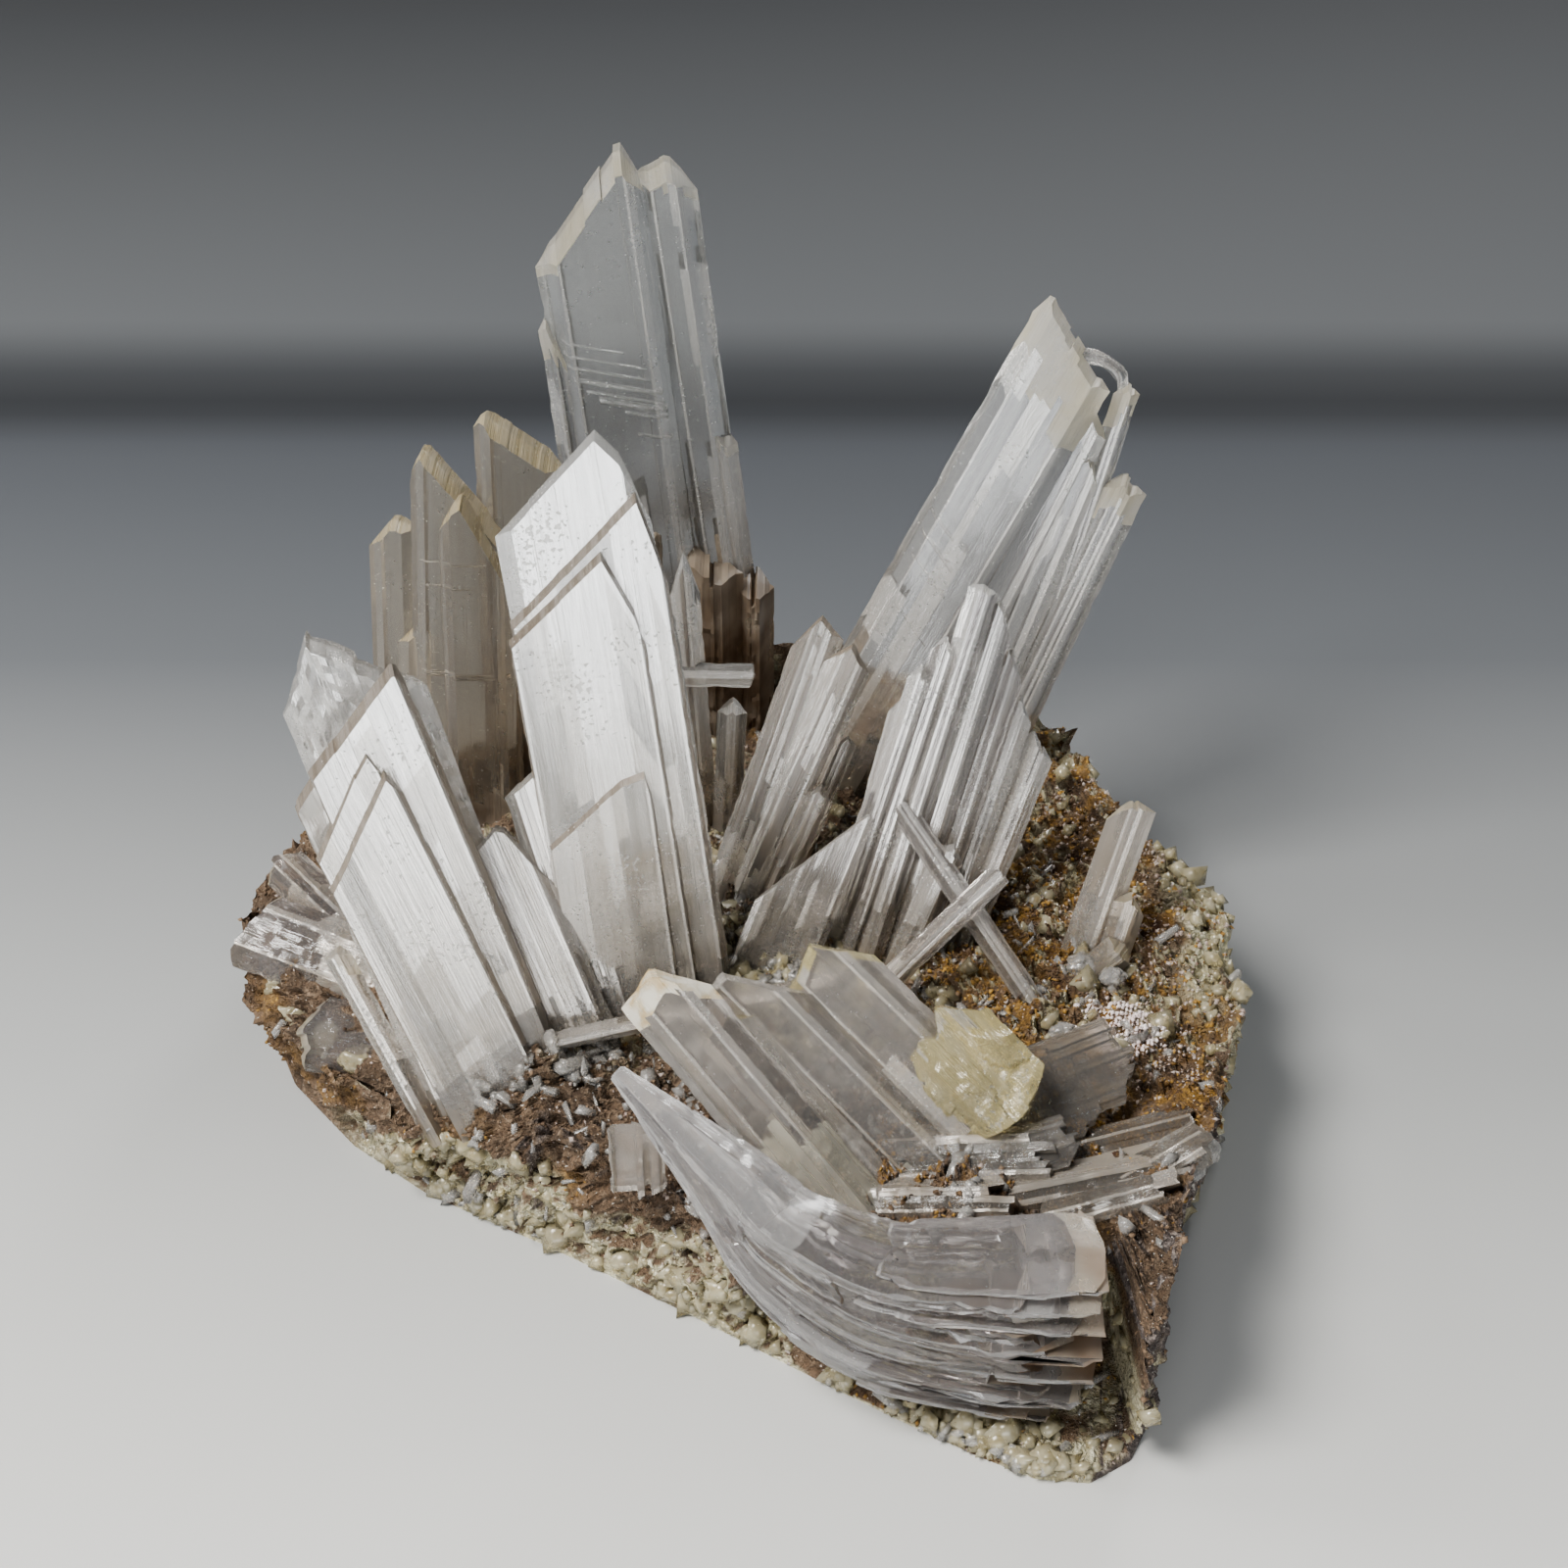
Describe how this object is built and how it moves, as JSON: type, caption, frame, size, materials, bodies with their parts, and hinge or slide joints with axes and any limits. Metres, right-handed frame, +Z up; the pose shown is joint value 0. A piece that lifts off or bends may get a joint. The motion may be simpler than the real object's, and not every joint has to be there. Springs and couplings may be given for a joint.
{
  "type": "selenite crystal specimen",
  "caption": "Hand specimen of clear and silky selenite blades, a tall prism, a fan, a needle sheaf and a bent layered crystal on an earthy gypsum matrix with a flat underside.",
  "frame": {"origin": "on the flat underside of the matrix, below the middle of the specimen", "axes": "+Z up, +X to the right and +Y away, as seen from the front, where the bent crystal is"},
  "size_m": [0.1076, 0.105, 0.0903],
  "materials": {
    "matrix": "rough, earthy, with sparkling gypsum crusts",
    "tall_crystal": "clear, with a rough cream-white top",
    "rear_blades": "clear grey-brown, with striated yellowish end faces",
    "central_blades": "silvery, silky, finely striated",
    "left_blades": "silvery, silky, with white powder at the foot",
    "left_end_crystals": "cloudy lilac-grey",
    "middle_prisms": "frosted beige-grey",
    "small_back_crystals": "clear to milky",
    "needle_sheaf": "strongly striated, silvery",
    "fan_crystal": "clear, with a frosted cream cap",
    "crossing_prisms": "clear, finely striated",
    "stub_crystal": "milky, with a frosted top",
    "front_blades": "smoky clear, with pale yellow frosted ends and crust",
    "smoky_blades": "clear smoky grey, finely striated",
    "bent_crystal": "translucent, layered, waxy",
    "thin_flake": "clear grey, striated"
  },
  "bodies": {
    "root": {"matrix": "matrix", "tall_crystal": "tall_crystal", "rear_blades": "rear_blades", "central_blades": "central_blades", "left_blades": "left_blades", "left_end_crystals": "left_end_crystals", "middle_prisms": "middle_prisms", "small_back_crystals": "small_back_crystals", "needle_sheaf": "needle_sheaf", "fan_crystal": "fan_crystal", "crossing_prisms": "crossing_prisms", "stub_crystal": "stub_crystal", "front_blades": "front_blades", "smoky_blades": "smoky_blades", "bent_crystal": "bent_crystal", "thin_flake": "thin_flake"}
  },
  "joints": []
}
